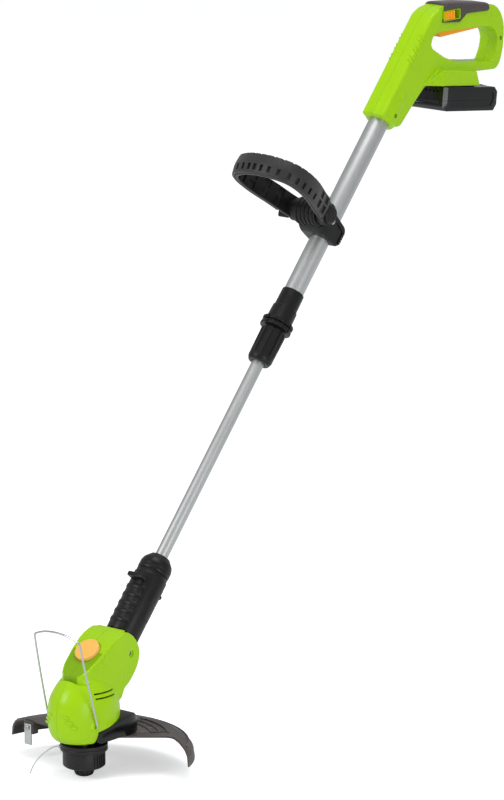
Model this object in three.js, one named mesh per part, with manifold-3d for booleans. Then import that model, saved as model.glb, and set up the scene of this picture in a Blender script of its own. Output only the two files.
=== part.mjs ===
// Cordless string trimmer: cutting head, swivel neck, telescopic pole, loop handle, rear handle, battery.
// Millimetres, +Z up. The origin is the middle of the bump knob's flat underside, on the ground.
// The pole rises towards +Y, where the user stands. +X is the tool's left side.
// Run with the npm packages three and manifold-3d.
import * as THREE from "three";
import { mergeVertices } from "three/addons/utils/BufferGeometryUtils.js";
import Module from "manifold-3d";

const wasm = await Module();
wasm.setup();

// ---- driving dimensions ----
const GAP = 0.3; // between pieces that touch
const LEAN = THREE.MathUtils.degToRad(41.1); // pole from vertical
const PIVOT = [0, 66, 170]; // head tilt bolt, also the start of the pole's axis

const SPOOL_R = 34; // outside of the spool base
const CUP_R = 30.5; // outside of the spool cap
const KNOB_H = 12; // bump knob
const CUP_Z = [13, 37.5]; // spool cap, bottom and top
const BASE_Z = [38, 48.6]; // spool base, bottom and top
const HEAD_Z = 54; // underside of the head housing
const WALL = 3; // moulded walls
const WIRE_PIVOT = [-23, 83]; // y and z of the wire guard's pivots
const WIRE_X = 47; // half width of the wire guard
const GUARD_R = 158; // outside of the guard, so the line cuts a circle of about 300
const CHEEK = 26.4; // inside half width of the head's fork

const NECK_R = 25;
const KNUCKLE_R = 21; // round end of the neck, on the tilt bolt
const NECK_TOP = 126; // along the pole from the tilt bolt, as are the values below
const LOWER_R = 9.5;
const UPPER_R = 15;
const TUBE_WALL = 1.3;
const LOWER_T = [54, 690];
const UPPER_T = [548, 985];
const NUT_T = [484, 538];
const LOOP_T = 719; // loop handle's tilt bolt, along the pole
const LOOP_N = -43; // and in front of the pole's axis
const HANDLE_SCREW = [1.7, 920]; // across the pole, where the first handle screw goes through the tube
const LOOP_SLOPE = THREE.MathUtils.degToRad(36); // loop plane above level
const PLATE_X = 22; // half width of the loop handle's clamp
const LOOP_SCREW = [-19, 721]; // across and along the pole, the clamp's own screw

const GRIP_X = 17; // half width of the rear handle's grip
const BATTERY_Y = [775, 902];
const BATTERY_Z = [856, 892];
const BATTERY_X = 36;
const PACK_TILT = THREE.MathUtils.degToRad(-7); // the pack drops a little towards the rear

// ---- colours ----
const paint = (color, roughness, metalness = 0) =>
  new THREE.MeshStandardMaterial({ color, roughness, metalness });
const look = {
  green: () => paint(0x9acb00, 0.3),
  orange: () => paint(0xffa41a, 0.35),
  black: () => paint(0x1d1c1c, 0.4),
  dark: () => paint(0x4a4442, 0.6),
  rubber: () => paint(0x3c3636, 0.8),
  grey: () => paint(0x383838, 0.5),
  tube: () => paint(0xd4d7d6, 0.35, 0.9),
  steel: () => paint(0xb5b8b6, 0.3, 1),
  nylon: () => paint(0xd8dde0, 0.3),
  copper: () => paint(0x8c5a2a, 0.4, 0.8),
  blue: () => paint(0x2f6fae, 0.5),
};

// ---- solids ----
// Outlines and profiles may run either way round, so a solid that comes out inside out is reversed.
function closed(vertProperties, triVerts) {
  const body = new wasm.Manifold(new wasm.Mesh({ numProp: 3, vertProperties, triVerts }));
  if (body.volume() > 0) return body;
  return new wasm.Manifold(
    new wasm.Mesh({ numProp: 3, vertProperties, triVerts: triVerts.slice().reverse() }));
}
function solid(geometry) {
  geometry.deleteAttribute("normal");
  geometry.deleteAttribute("uv");
  const g = mergeVertices(geometry, 1e-4);
  return closed(new Float32Array(g.attributes.position.array), new Uint32Array(g.index.array));
}
const cut = (body, ...tools) => tools.reduce((b, t) => b.subtract(t), body);
const join = (body, ...more) => more.reduce((b, m) => b.add(m), body);
const moved = (body, x, y, z) => body.translate([x, y, z]);
const turnedX = (body, angle) => body.rotate([THREE.MathUtils.radToDeg(angle), 0, 0]);

// A closed profile of [radius, z] points turned about the z axis.
function turned(profile, segments = 20) {
  const points = profile.map(([r, z]) => new THREE.Vector2(r, z));
  if (profile[0][0] > 0) points.push(points[0].clone());
  return solid(new THREE.LatheGeometry(points, segments).rotateX(Math.PI / 2));
}
const rod = (r, z0, z1, segments = 16) => turned([[0, z0], [r, z0], [r, z1], [0, z1]], segments);
const pipe = (r, bore, z0, z1, segments = 20) =>
  turned([[bore, z0], [r, z0], [r, z1], [bore, z1]], segments);
const alongX = (body, y, z) => body.rotate([0, 90, 0]).translate([0, y, z]);
const pin = (r, x0, x1, y, z, segments = 14) => alongX(rod(r, x0, x1, segments), y, z);

function box(x0, x1, y0, y1, z0, z1) {
  const g = new THREE.BoxGeometry(x1 - x0, y1 - y0, z1 - z0);
  return solid(g.translate((x0 + x1) / 2, (y0 + y1) / 2, (z0 + z1) / 2));
}

function shape2(points) {
  return new THREE.Shape(points.map(([x, y]) => new THREE.Vector2(x, y)));
}

// A side outline of [y, z] points, from x0 to x1, with its edges bevelled.
function slab(points, x0, x1, bevel = 0) {
  const g = new THREE.ExtrudeGeometry(shape2(points), {
    depth: x1 - x0 - 2 * bevel, steps: 1, bevelEnabled: bevel > 0, bevelSegments: 2,
    bevelThickness: bevel, bevelSize: bevel, bevelOffset: -bevel,
  });
  const m = new THREE.Matrix4().makeBasis(
    new THREE.Vector3(0, 1, 0), new THREE.Vector3(0, 0, 1), new THREE.Vector3(1, 0, 0));
  return solid(g.translate(0, 0, x0 + bevel).applyMatrix4(m));
}

// An outline of [x, y] points standing from z0 to z1.
function plate(points, z0, z1) {
  const g = new THREE.ExtrudeGeometry(shape2(points), { depth: z1 - z0, bevelEnabled: false });
  return solid(g.translate(0, 0, z0));
}

// Ellipses stacked in z: [z, half width in x, half length in y].
function stack(rings, sides = 22) {
  const at = [];
  const faces = [];
  for (const [z, a, b] of rings) {
    for (let i = 0; i < sides; i++) {
      const angle = (2 * Math.PI * i) / sides;
      at.push(a * Math.cos(angle), b * Math.sin(angle), z);
    }
  }
  for (let k = 0; k + 1 < rings.length; k++) {
    for (let i = 0; i < sides; i++) {
      const p = k * sides + i;
      const q = k * sides + ((i + 1) % sides);
      faces.push(p, q, q + sides, p, q + sides, p + sides);
    }
  }
  const foot = at.length / 3;
  at.push(0, 0, rings[0][0], 0, 0, rings[rings.length - 1][0]);
  const top = (rings.length - 1) * sides;
  for (let i = 0; i < sides; i++) {
    const j = (i + 1) % sides;
    faces.push(foot, j, i, foot + 1, top + i, top + j);
  }
  return closed(new Float32Array(at), new Uint32Array(faces));
}

// A round wire of radius r along a curve.
function wire(curve, r, steps, sides = 8) {
  const ring = [];
  for (let i = 0; i < sides; i++) {
    const angle = (2 * Math.PI * i) / sides;
    ring.push([r * Math.cos(angle), r * Math.sin(angle)]);
  }
  return solid(new THREE.ExtrudeGeometry(shape2(ring), { steps, extrudePath: curve }));
}
function curveThrough(points) {
  return new THREE.CatmullRomCurve3(points.map((p) => new THREE.Vector3(...p)), false, "centripetal");
}
// A coil spring about the z axis.
function spring(r, z0, z1, turns, gauge) {
  const points = [];
  const count = turns * 8;
  for (let i = 0; i <= count; i++) {
    const angle = (2 * Math.PI * turns * i) / count;
    points.push([r * Math.cos(angle), r * Math.sin(angle), z0 + ((z1 - z0) * i) / count]);
  }
  return wire(curveThrough(points), gauge, count, 4);
}

const group = new THREE.Group();
const pole = new THREE.Group(); // its z runs up the pole and its -y is the pole's upper side
pole.position.set(...PIVOT);
pole.rotation.x = -LEAN;
group.add(pole);

function add(name, body, material, parent = group) {
  const m = body.getMesh();
  const g = new THREE.BufferGeometry();
  g.setAttribute("position", new THREE.BufferAttribute(new Float32Array(m.vertProperties), 3));
  g.setIndex(new THREE.BufferAttribute(new Uint32Array(m.triVerts), 1));
  g.computeVertexNormals();
  const mesh = new THREE.Mesh(g, material);
  mesh.name = name;
  parent.add(mesh);
}

// Cuts a moulding down its middle into a left (+x) and a right (-x) shell.
function addHalves(name, body, material, parent = group) {
  const big = 1500;
  const half = (x0, x1) => body.intersect(box(x0, x1, -big, big, -big, big));
  add(`${name}_left`, half(GAP / 2, big), material(), parent);
  add(`${name}_right`, half(-big, -GAP / 2), material(), parent);
}

// ---- spool ----
function addSpool() {
  const base = cut(
    turned([[6.3, BASE_Z[1] - 3], [6.3, BASE_Z[1]], [SPOOL_R, BASE_Z[1]], [SPOOL_R, BASE_Z[0]],
      [SPOOL_R - 2.4, BASE_Z[0]], [SPOOL_R - 2.4, BASE_Z[1] - 3]], 24),
    exitHole(2.9));
  add("spool_base", base, look.grey());

  let cup = turned([[15, CUP_Z[0]], [CUP_R - 3, CUP_Z[0]], [CUP_R, CUP_Z[0] + 3], [CUP_R, CUP_Z[1]],
    [CUP_R - 2, CUP_Z[1]], [CUP_R - 2, CUP_Z[0] + 3.4], [CUP_R - 3.6, CUP_Z[0] + 2], [15, CUP_Z[0] + 2]], 24);
  for (const side of [20, 38, 56, 200, 218, 236]) {
    const groove = box(CUP_R - 0.9, CUP_R + 2, -1.3, 1.3, CUP_Z[0] + 2, CUP_Z[1] - 2);
    cup = cut(cup, groove.rotate([0, 0, side]));
  }
  add("spool_cap", cup, look.grey());

  add("line_spool", turned([[8, 19], [26.5, 19], [26.5, 21], [13, 21], [13, 33], [26.5, 33],
    [26.5, 35], [8, 35]], 20), look.black());
  add("wound_line", pipe(24, 13.3, 21.3, 32.7), look.nylon());
  add("bump_knob", turned([[0, 0], [9.5, 0], [12.6, 1.6], [14.3, 5], [14.3, KNOB_H], [5, KNOB_H],
    [5, 17], [0, 17]], 20), look.grey());
  add("bump_spring", spring(6.4, 18.5, 34, 5, 0.6), look.steel());
  add("drive_shaft", turned([[0, 36], [6, 36], [6, 71], [2.5, 71], [2.5, 128], [0, 128]], 16), look.steel());
}

// The line leaves the spool base level, towards the front right.
const EXIT_ANGLE = 220; // degrees about z
const EXIT_Z = 42;
function exitHole(r) {
  return rod(r, 28, 40).rotate([0, 90, EXIT_ANGLE]).translate([0, 0, EXIT_Z]);
}

function addCuttingLine() {
  const eyelet = pipe(2.6, 1.2, 30.6, 36.4, 16).rotate([0, 90, EXIT_ANGLE]);
  add("line_eyelet", eyelet.translate([0, 0, EXIT_Z]), look.steel());
  // Distance from the spool's axis and height: stiff line, straight out, then down to the ground.
  const route = [[36.8, 42], [39, 41.9], [41.5, 41.4], [44.5, 40.3], [47.5, 38.7], [51, 36.4],
    [54.5, 33.8], [58, 30.9], [61.5, 27.6], [64.8, 24.1], [67.8, 20.4], [70.5, 16.4], [72.8, 12.3],
    [74.7, 8.1], [76, 4.4], [76.8, 1.4]];
  const angle = THREE.MathUtils.degToRad(EXIT_ANGLE);
  const points = route.map(([r, z]) => [r * Math.cos(angle), r * Math.sin(angle), z]);
  add("cutting_line", wire(curveThrough(points), 0.8, 20, 6), look.nylon());
}

// ---- head ----
const HEAD_RINGS = [[HEAD_Z, 31, 38], [57, 37, 46], [63, 41.5, 52], [73, 45, 56], [92, 46.5, 58],
  [114, 45, 56], [130, 38, 48], [142, 31, 38], [150, 26, 31]];
const HOOD = [[-31, 140], [-31, 150], [28, 194], [45, 201], [61, 205.5], [76, 196], [86, 184],
  [91, 172], [90, 160], [85, 146], [77, 134], [68, 124], [56, 119], [48, 108], [0, 100], [-28, 122]];
const HOOD_PLAN = [[-10, -31], [10, -31], [19, -25], [25, -14], [30, 10], [32, 40], [32, 120], [-32, 120],
  [-32, 40], [-30, 10], [-25, -14], [-19, -25]];
const BUTTON_TILT = Math.atan2(44, 59); // slope of the hood under the button
const BUTTON_AT = [10, 180.3]; // y and z where the button's axis meets the hood
const UNDERCUT = [[-17, 40], [-17, 74.5], [46, 87], [60, 92], [120, 92], [120, 40]]; // housing's rear underside

const buttonFrame = (body) => turnedX(body, BUTTON_TILT).translate([0, ...BUTTON_AT]);

// What the neck needs through the whole tilt, seen from the head.
function neckRoom() {
  let room = pin(KNUCKLE_R + 1.6, -CHEEK, CHEEK, PIVOT[1], PIVOT[2], 20);
  for (const extra of [0, 9, 18, 27, 36]) {
    const beam = join(box(-CHEEK, CHEEK, -NECK_R - 1.8, NECK_R + 1.8, 20, 90),
      box(-CHEEK, CHEEK, -KNUCKLE_R - 1.6, KNUCKLE_R + 1.6, 0, 30));
    const angle = -LEAN - THREE.MathUtils.degToRad(extra);
    room = join(room, turnedX(beam, angle).translate(PIVOT));
  }
  return room;
}

function addHead() {
  let outer = join(stack(HEAD_RINGS), slab(HOOD, -32, 32, 5).intersect(plate(HOOD_PLAN, 0, 300)));
  for (const side of [-1, 1]) {
    outer = join(outer, pin(6.5, side < 0 ? -43.8 : 36, side < 0 ? -36 : 43.8, ...WIRE_PIVOT, 12));
  }
  const inner = stack(HEAD_RINGS.slice(1, 8).map(([z, a, b]) => [z, a - WALL, b - WALL]));
  outer = cut(outer, inner, neckRoom(), slab(UNDERCUT, -60, 60), rod(8, 40, 70),
    pin(4.3, -29, 29, PIVOT[1], PIVOT[2]), pin(3, 20, 40, PIVOT[1], PIVOT[2]),
    pin(2, -50, 50, ...WIRE_PIVOT, 12), buttonFrame(rod(19.4, -8, 20, 20)), buttonFrame(rod(7, -22, 0)));
  for (const z of [122.2, 128.6]) {
    const vent = slab([[-18, z - 1], [-18, z + 1.4], [24, z + 0.2], [24, z - 2.2]], -60, 60);
    outer = cut(outer, vent);
  }
  addHalves("head_shell", outer, look.green);

  add("tilt_button", buttonFrame(turned([[0, -4], [18.9, -4], [18.9, 4.6], [17.6, 6], [0, 6]], 20)),
    look.orange());
  add("tilt_button_spring", buttonFrame(spring(5, -18, -4.8, 4, 0.6)), look.steel());
  add("tilt_bolt", pin(4, -28.6, 28.6, PIVOT[1], PIVOT[2]), look.steel());
  add("motor_mount", cut(plate(ellipsePoints(39.5, 50, 20), 72, 75.5), rod(6.6, 60, 90),
    slab(UNDERCUT, -60, 60)), look.black());
  add("motor", turned([[3, 76], [18.5, 76], [18.5, 126], [9, 126], [9, 131], [3, 131]], 20), look.steel());
}

function ellipsePoints(a, b, count) {
  const points = [];
  for (let i = 0; i < count; i++) {
    const angle = (2 * Math.PI * i) / count;
    points.push([a * Math.cos(angle), b * Math.sin(angle)]);
  }
  return points;
}

function addWireGuard() {
  const [y, z] = WIRE_PIVOT;
  const top = [y - 33, z + 131];
  const half = [[41, y, z], [44.5, y, z], [WIRE_X - 0.4, y - 0.2, z + 0.9], [WIRE_X, y - 1, z + 4],
    [WIRE_X - 1, y - 10, z + 38], [WIRE_X - 2.6, y - 21.5, z + 82], [WIRE_X - 4, top[0] + 2, top[1] - 8],
    [WIRE_X - 5, top[0] + 0.6, top[1] - 2.5], [WIRE_X - 9, top[0], top[1] + 0.6],
    [WIRE_X - 26, top[0] - 1.4, top[1] + 6]];
  const other = half.map(([px, py, pz]) => [-px, py, pz]).reverse();
  const middle = [0, top[0] - 2, top[1] + 8];
  add("wire_guard", wire(curveThrough([...half, middle, ...other]), 1.5, 58, 6), look.steel());
}

// ---- guard ----
function addGuard() {
  const section = [[40, 54], [40, 57], [118, 56.5], [138, 54], [150, 48.5], [156, 40], [GUARD_R, 25],
    [GUARD_R - 3, 25], [153, 39], [147.5, 46], [136.5, 51], [118, 53.5]];
  const sector = [[0, 0], [95, 84], [153, 56], [190, 60], [190, 190], [-190, 190], [-190, 22], [-60, 8]];
  let guard = turned(section, 48).intersect(plate(sector, 0, 80));
  guard = join(guard, box(-126, -108, 11.2, 22, 36, 54));
  const screws = [-25, 25].map((x) => moved(rod(2.3, 40, 70, 12), x, 66, 0));
  guard = cut(guard, plate(ellipsePoints(44, 54, 20), 40, 70), ...screws,
    pinY(1.9, 5, 30, ...CUTTER_AT));
  add("guard", guard, look.dark());

  const outline = [[-16.7, 57.5], [-16.7, 74.1], [46, 86.5], [58, 88], [68, 79], [74, 66], [70, 57.5]];
  const plan = [[-46, -20], [46, -20], [46, 52], [41, 70], [26, 82], [-26, 82], [-41, 70], [-46, 52]];
  const wedge = slab(outline, -46, 46).intersect(plate(plan, 50, 100));
  const bracket = cut(wedge, plate(ellipsePoints(42, 52, 20), 40, 71.6), rod(30, 40, 70),
    plate(ellipsePoints(40, 50.6, 20), 71, 100), ...screws);
  add("guard_bracket", bracket, look.black());

  const [x, z] = CUTTER_AT;
  add("line_cutter", cut(box(x - 6.5, x + 6.5, 9.3, 10.9, 20, 51), pinY(1.9, 5, 20, x, z)), look.steel());
  add("cutter_screw", join(pinY(3.2, 7.2, 9, x, z), pinY(1.5, 8, 18, x, z)), look.steel());
  for (const [name, x] of [["guard_screw_left", 25], ["guard_screw_right", -25]]) {
    add(name, moved(turned([[0, 49.6], [4, 49.6], [4, 52.4], [2, 52.4], [2, 68], [0, 68]], 12), x, 66, 0),
      look.steel());
  }
}
const CUTTER_AT = [-117, 45]; // x and z of the line cutter's screw
const pinY = (r, y0, y1, x, z) => rod(r, y0, y1, 16).rotate([-90, 0, 0]).translate([x, 0, z]);

// ---- neck and pole, in the pole's own frame ----
function addNeck() {
  let body = join(pin(KNUCKLE_R, -CHEEK + 0.6, CHEEK - 0.6, 0, 0, 20), rod(KNUCKLE_R, 4, 30, 20),
    rod(NECK_R, 25, 121, 20), rod(NECK_R - 1.4, 121, NECK_TOP, 20));
  const front = box(-40, 40, -40, 0, 0, 200);
  for (let i = 0; i < 4; i++) {
    const t = 44 + 14 * i;
    const rib = turned([[20, t - 3.5], [26.2, t - 2], [26.2, t + 2], [20, t + 3.5]], 20);
    body = join(body, rib.intersect(front));
  }
  body = join(body, box(-14, 14, -34, -18, 104, 111));
  body = cut(body, rod(10, 50, 140, 16), rod(4, 10, 60, 10), pin(4.4, -40, 40, 0, 0),
    swivelFrame(rod(4.5, 12.5, 40, 12)));
  add("neck", body.intersect(box(-26, 26, -60, 60, -60, 200)), look.black(), pole);
  add("swivel_button", swivelFrame(turned([[0, 15], [4, 15], [4, 26], [2.6, 28.4], [0, 29]], 12)),
    look.black(), pole);
  add("neck_collar", turned([[9.9, 126.6], [23.6, 126.6], [24, 129], [24, 139], [22, 145], [14.5, 154],
    [9.9, 154]], 20), look.black(), pole);
}
const SWIVEL_ANGLE = 63; // degrees from +x round to the pole's underside
const SWIVEL_T = 102;
const swivelFrame = (body) =>
  body.rotate([0, 90, 0]).rotate([0, 0, SWIVEL_ANGLE]).translate([0, 0, SWIVEL_T]);

function addPole() {
  add("lower_tube", pipe(LOWER_R, LOWER_R - TUBE_WALL, ...LOWER_T, 24), look.tube(), pole);
  add("guide_bush", pipe(UPPER_R - TUBE_WALL - GAP, LOWER_R + GAP, 668, 688), look.black(), pole);
  const tube = pipe(UPPER_R, UPPER_R - TUBE_WALL, ...UPPER_T, 24);
  add("upper_tube", cut(tube, pin(1.9, -20, 20, ...HANDLE_SCREW, 10)), look.tube(), pole);
  add("clamp_sleeve", turned([[12.9, 500], [15.2, 500], [15.2, 539], [17, 541], [24, 541], [24, 545.5],
    [19.5, 545.5], [19.5, 549.5], [24, 549.5], [24, 554], [19.5, 554], [19, 576], [17.3, 577],
    [17, 605], [15.3, 605], [15.3, 547.6], [12.9, 547.6]], 16), look.black(), pole);
  add("clamp_collet", turned([[9.8, 498], [11.6, 498], [12.5, 502], [12.5, 538], [9.8, 538]], 20),
    look.grey(), pole);
  const nut = cut(
    turned([[10, NUT_T[0]], [16, NUT_T[0]], [18.6, 490], [19.2, 536], [18, NUT_T[1]], [10, NUT_T[1]]], 10),
    rod(15.6, 499.5, 560, 20), rod(12.7, 496, 510));
  add("clamp_nut", nut, look.black(), pole);
  add("power_cable", moved(rod(2.6, 300, 980, 10), 0, -5.2, 0), look.black(), pole);
}

// ---- loop handle, in the pole's own frame ----
// The loop lies in a plane through the tilt bolt, which faces forward and a little down from square.
const LOOP_TURN = LOOP_SLOPE - LEAN; // from the pole's square plane
const loopFrame = (body) => turnedX(body, -LOOP_TURN).translate([0, LOOP_N, LOOP_T]);

// The loop's half outline, [x, distance in front of the tilt bolt], offset outwards.
const LOOP_STEPS = 13;
function loopOutline(offset) {
  const side = [[30, 0], [36, 16], [43, 45], [54, 80], [56, 111], [47, 133], [22, 146], [0, 149]];
  const curve = new THREE.CatmullRomCurve3(side.map(([x, d]) => new THREE.Vector3(x, d, 0)));
  const half = [];
  for (let i = 0; i <= LOOP_STEPS; i++) {
    const p = curve.getPoint(i / LOOP_STEPS);
    const q = curve.getTangent(i / LOOP_STEPS);
    half.push([p.x + q.y * offset, p.y - q.x * offset]);
  }
  half[LOOP_STEPS][0] = 0;
  return half;
}
function loopBand(inner, outer, width, from) {
  const out = loopOutline(outer);
  const back = loopOutline(inner);
  const mirror = (points) => points.slice(0, -1).map(([x, d]) => [-x, d]).reverse();
  const ring = [...out, ...mirror(out), ...mirror(back).reverse(), ...back.slice().reverse()];
  const band = plate(ring.map(([x, d]) => [x, -d]).reverse(), -width / 2, width / 2);
  return band.intersect(box(-90, 90, -200, -from, -40, 40));
}

function addLoop() {
  const barrel = (r, x0, x1) => pin(r, x0, x1, LOOP_N, LOOP_T, 16);
  let block = join(slab([[-34, 700], [-24, 696], [12, 696], [20, 704], [20, 724], [14, 730], [-28, 736],
    [-40, 731]], -PLATE_X, PLATE_X, 2), barrel(20, -20, 20));
  for (const x of [-15, -7.5, 0, 7.5, 15]) block = join(block, barrel(21.8, x - 1.6, x + 1.6));
  block = cut(block, rod(UPPER_R + 0.3, 600, 800, 20), barrel(4, -40, 40),
    pin(2.3, -40, 40, ...LOOP_SCREW, 12), hubRoom(1), hubRoom(-1));
  addHalves("loop_clamp", block, look.black, pole);
  add("loop_clamp_screw", join(pin(2, -PLATE_X + 1, PLATE_X + 0.4, ...LOOP_SCREW, 12),
    pin(5, PLATE_X + 0.3, PLATE_X + 3, ...LOOP_SCREW)), look.steel(), pole);

  const hubs = [1, -1].map((side) => pin(17, side > 0 ? 20.6 : -32, side > 0 ? 32 : -20.6, 0, 0, 16));
  let frame = join(loopBand(-4.5, 1.2, 32, 2), ...hubs);
  frame = cut(frame, pin(4.2, -60, 60, 0, 0), box(-20.5, 20.5, -60, 30, -30, 30));
  add("loop_frame", loopFrame(frame), look.black(), pole);
  add("loop_grip", loopFrame(loopBand(1.5, 6.5, 32, 24)), look.rubber(), pole);

  const bolt = join(pin(3.6, -46, 35.4, LOOP_N, LOOP_T), pin(5.6, 34.6, 37, LOOP_N, LOOP_T, 12));
  add("loop_bolt", bolt, look.steel(), pole);
  let knob = pin(13, -56, -37, LOOP_N, LOOP_T, 12);
  for (let i = 0; i < 6; i++) {
    const angle = (Math.PI * i) / 3;
    knob = join(knob, pin(5, -56, -39, LOOP_N + 11.5 * Math.cos(angle), LOOP_T + 11.5 * Math.sin(angle), 8));
  }
  add("loop_knob", cut(knob, pin(3.9, -47, -20, LOOP_N, LOOP_T)), look.black(), pole);
}
// The flat seats beside the barrel where the loop's two ends turn.
function hubRoom(side) {
  return pin(18, side > 0 ? 20.3 : -40, side > 0 ? 40 : -20.3, LOOP_N, LOOP_T, 16);
}

// ---- rear handle ----
const HANDLE = [[643, 866], [653, 876], [702, 933], [746, 985], [762, 1001], [780, 1009], [800, 1012],
  [846, 1008], [915, 998], [928, 989], [937, 974], [940, 958], [938, 932], [931, 910], [921, 899],
  [866, 902], [858, 886], [748, 897], [718, 872], [686, 842], [668, 846]];
const OPENING = [[758, 957], [762, 968], [774, 973], [886, 968], [906, 966], [919, 957], [924, 945],
  [921, 930], [911, 912], [822, 922], [790, 934], [762, 950]];
const TRIGGER = [[784, 974], [797, 962], [892, 965], [899, 969], [899, 978], [893, 980], [785, 986]];
const GRIP_TOP = [[788, 986], [828, 982], [846, 993], [896, 991], [900, 993], [900, 1001.6], [896, 1003.4],
  [846, 1010.6], [800, 1014.6], [793, 1014.6]];
const inPole = (body) => turnedX(body, -LEAN).translate(PIVOT);
// y, z and the depth of the head's seat; the first screw also holds the tube.
const SCREW_PLACES = [[672, 862, 16.6], [931.5, 945, 12.6]];

function addHandle() {
  const foot = slab([[740, 893.5], [772, 917], [851, 916], [862, 893.5]], -33, 33, 2).intersect(
    plate([[-22, 735], [22, 735], [33, 774], [33, 880], [-33, 880], [-33, 774]], 880, 930));
  let outer = join(slab(HANDLE, -21, 21, 5), packFrame(foot), inPole(turned([[0, 905], [22.5, 905], [23.5, 909],
    [22.5, 960], [0, 960]], 20)));
  const slim = slab([[780, 960], [780, 1030], [990, 1030], [990, 880], [866, 880], [866, 936], [800, 945]],
    GRIP_X, 40);
  outer = cut(outer, slab(OPENING, -60, 60), slim, slim.mirror([1, 0, 0]));
  const tubeRoom = inPole(rod(UPPER_R + 0.3, 880, 985.5, 20));
  const triggerRoom = slab([[781, 960], [781, 1000], [903, 990], [903, 960]], -8.6, 8.6);
  const topRoom = slab([[760, 985], [776, 1001], [800, 1005], [900, 993], [900, 982], [780, 985]], -12, 12);
  const spine = slab([[712, 920], [760, 990], [776, 985], [750, 940], [775, 905], [735, 900]], -15, 15);
  const railRoom = packFrame(box(-27, 27, 765, 870, 880, 907));
  outer = cut(outer, tubeRoom, triggerRoom, topRoom, spine, railRoom, gripSkin(GAP));
  outer = cut(outer, slab([[789, 987], [830, 987], [830, 1003], [789, 1003]], GRIP_X - 6, 40));
  for (const [y, z, seat] of SCREW_PLACES) {
    outer = cut(outer, pin(1.9, -17, 30, y, z, 10), pin(3.6, seat - 0.3, 30, y, z, 14));
  }
  addHalves("handle_shell", outer, look.green);
  SCREW_PLACES.forEach(([y, z, seat], i) => {
    const screw = join(pin(1.6, -seat, seat + 1, y, z, 10), pin(3.2, seat, seat + 2.6, y, z, 14));
    add(`handle_screw_${i + 1}`, screw, look.steel());
  });

  const window = slab([[789, 986.5], [831, 986.5], [831, 1004], [789, 1004]], 0, 40);
  add("grip_cover", cut(gripSkin(0), window), look.rubber());
  add("lock_slider", join(slab([[792, 989], [816, 989], [816, 1001.5], [792, 1001.5]], GRIP_X - 3, GRIP_X + 3.4, 1),
    ...[797, 804, 811].map((y) => slab([[y - 1.2, 990.5], [y + 1.2, 990.5], [y + 1.2, 1000], [y - 1.2, 1000]],
      GRIP_X + 2, GRIP_X + 4.6))), look.orange());
  add("lock_frame", cut(slab([[789.4, 987.3], [829.6, 987.3], [829.6, 1002.7], [789.4, 1002.7]],
    GRIP_X - 5, GRIP_X + 2.6), slab([[791.2, 988.4], [828, 988.4], [828, 1001.9], [791.2, 1001.9]], 0, 40)),
  look.green());
  add("trigger", cut(slab(TRIGGER, -8, 8, 1), pin(2.4, -20, 20, 893, 974, 12)), look.orange());
  add("trigger_pin", pin(2, -8.5, 8.5, 893, 974, 12), look.steel());
  add("trigger_spring", moved(spring(3.2, 987, 999, 4, 0.5), 0, 806, 0), look.steel());
  add("trigger_switch", box(-7, 7, 830, 852, 989.6, 997), look.black());
}
// The soft cover is a saddle over the grip; extra widens it into the seat it needs.
function gripSkin(extra) {
  const outer = slab(GRIP_TOP, -GRIP_X - 2 - extra, GRIP_X + 2 + extra, 1.5);
  const core = GRIP_TOP.map(([y, z]) => [y < 795 ? y - 8 : y > 890 ? y + 8 : y, z > 994 ? z - 3 - extra : z - 20]);
  return cut(outer, slab(core, -GRIP_X + 0.6 + extra, GRIP_X - 0.6 - extra));
}

// ---- battery ----
// The pack and its rail are drawn level, then tilted about the pack's upper front edge.
function packFrame(body) {
  const edge = [0, BATTERY_Y[0], BATTERY_Z[1]];
  return turnedX(body.translate(edge.map((c) => -c)), PACK_TILT).translate(edge);
}

function addBattery() {
  const [y0, y1] = BATTERY_Y;
  const [z0, z1] = BATTERY_Z;
  const split = z0 + 16;
  const side = [[y0, z0 + 5], [y0 + 5, z0], [y1 - 6, z0], [y1, z0 + 8], [y1, z1 - 6], [y1 - 6, z1], [y0, z1]];
  const shell = slab(side, -BATTERY_X, BATTERY_X, 3);
  const hollow = box(-BATTERY_X + WALL, BATTERY_X - WALL, y0 + WALL, y1 - 24, z0 + WALL, z1 - WALL);
  const rail = box(-24, 24, y0 + 4, y1 - 42, z1 - 1, z1 + 9);
  const whole = cut(join(shell, rail), hollow, box(-12, 12, y1 - 20, y1 + 5, z1 - 12, z1 + 1));
  const big = 1500;
  add("battery_base", packFrame(whole.intersect(box(-big, big, 0, big, 0, split - GAP / 2))), look.black());
  add("battery_top", packFrame(whole.intersect(box(-big, big, 0, big, split + GAP / 2, big))), look.black());
  for (let i = 0; i < 5; i++) {
    const cell = pin(9.2, -32.5, 32.5, y0 + 14 + 19 * i, z0 + 13.2, 14);
    add(`battery_cell_${i + 1}`, packFrame(cell), look.blue());
  }
  const latch = slab([[y1 - 19, z1 - 8], [y1 - 1, z1 - 8], [y1 + 4, z1 - 3], [y1 + 4, z1 - 1],
    [y1 - 8, z1 + 1], [y1 - 19, z1 - 1]], -11.5, 11.5, 1);
  add("battery_latch", packFrame(latch), look.grey());
  add("terminal_block", packFrame(box(-10, 10, 768, 777, 896, 905)), look.black());
}

addSpool();
addCuttingLine();
addHead();
addWireGuard();
addGuard();
addNeck();
addPole();
addLoop();
addHandle();
addBattery();

export default group;
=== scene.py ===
# %% [markdown]
# A battery string trimmer, built piece by piece around a fixed mechanical frame. The frame gives the
# moving bodies and their true places, and each cell adds one piece or one finish to it. Lengths inside
# the cells are millimetres, because that is how such a tool is drawn, and become metres at the end.

# %% Load the frame
import bmesh
import bpy
import math
from mathutils import Matrix, Vector


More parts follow.
